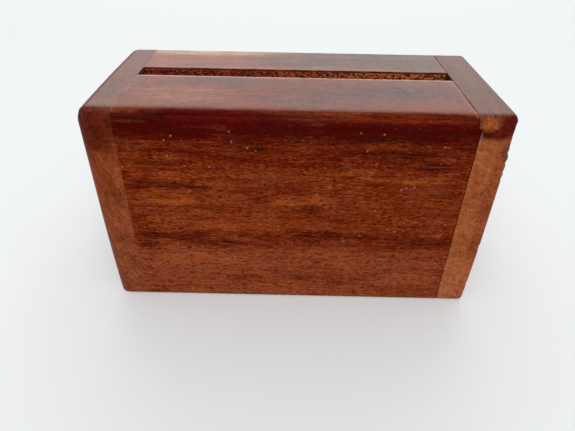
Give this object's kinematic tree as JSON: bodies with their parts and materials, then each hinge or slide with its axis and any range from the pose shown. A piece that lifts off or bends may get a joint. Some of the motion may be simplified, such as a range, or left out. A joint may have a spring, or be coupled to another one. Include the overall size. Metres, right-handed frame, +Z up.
{
  "type": "wooden puzzle box with a money slot",
  "caption": "Small rounded hardwood puzzle box with a long slot in the top, a hidden drawer behind one end board and loose pins that lock the drawer when the box is turned over.",
  "frame": {"origin": "centre of the underside", "axes": "+Z up, +X towards the end that slides out as a drawer, front panel faces -Y"},
  "size_m": [0.1114, 0.0524, 0.062],
  "materials": {
    "panel_wood": "satin oiled reddish-brown hardwood with dark streaks",
    "left_end_wood": "satin oiled end grain, reddish brown",
    "right_end_wood": "satin oiled end grain, lighter orange brown",
    "left_cap_wood": "satin oiled reddish-brown hardwood",
    "right_cap_wood": "satin oiled reddish-brown hardwood, orange at one edge",
    "front_strip_wood": "satin oiled reddish-brown hardwood",
    "back_strip_wood": "satin oiled reddish-brown hardwood with a pale sapwood edge",
    "bottom_wood": "satin oiled reddish-brown hardwood",
    "inner_wood": "plain sanded hardwood, unfinished",
    "dowel_wood": "plain dowel rod",
    "brad_brass": "plain drawn wire",
    "pin_steel": "ground rod"
  },
  "bodies": {
    "carcass": {"front_panel": "panel_wood", "back_panel": "panel_wood", "left_end_board": "left_end_wood", "bottom_board": "bottom_wood", "left_end_cap": "left_cap_wood", "front_top_strip": "front_strip_wood", "back_top_strip": "back_strip_wood", "front_drawer_guide": "inner_wood", "back_drawer_guide": "inner_wood", "drawer_stop_block": "inner_wood", "corner_dowels": "dowel_wood"},
    "drawer": {"right_end_board": "right_end_wood", "right_end_cap": "right_cap_wood", "drawer_floor": "inner_wood", "drawer_front_side": "inner_wood", "drawer_back_side": "inner_wood", "drawer_inner_end": "inner_wood", "drawer_brads": "brad_brass"},
    "front_pin": {"front_lock_pin": "pin_steel"},
    "back_pin": {"back_lock_pin": "pin_steel"}
  },
  "joints": [
    {"name": "drawer_slide", "type": "slide", "parent": "carcass", "child": "drawer", "axis": [1, 0, 0], "range_m": [0, 0.06]},
    {"name": "front_pin_drop", "type": "slide", "parent": "carcass", "child": "front_pin", "axis": [0, 0, 1], "range_m": [0, 0.004]},
    {"name": "back_pin_drop", "type": "slide", "parent": "carcass", "child": "back_pin", "axis": [0, 0, 1], "range_m": [0, 0.004]}
  ]
}
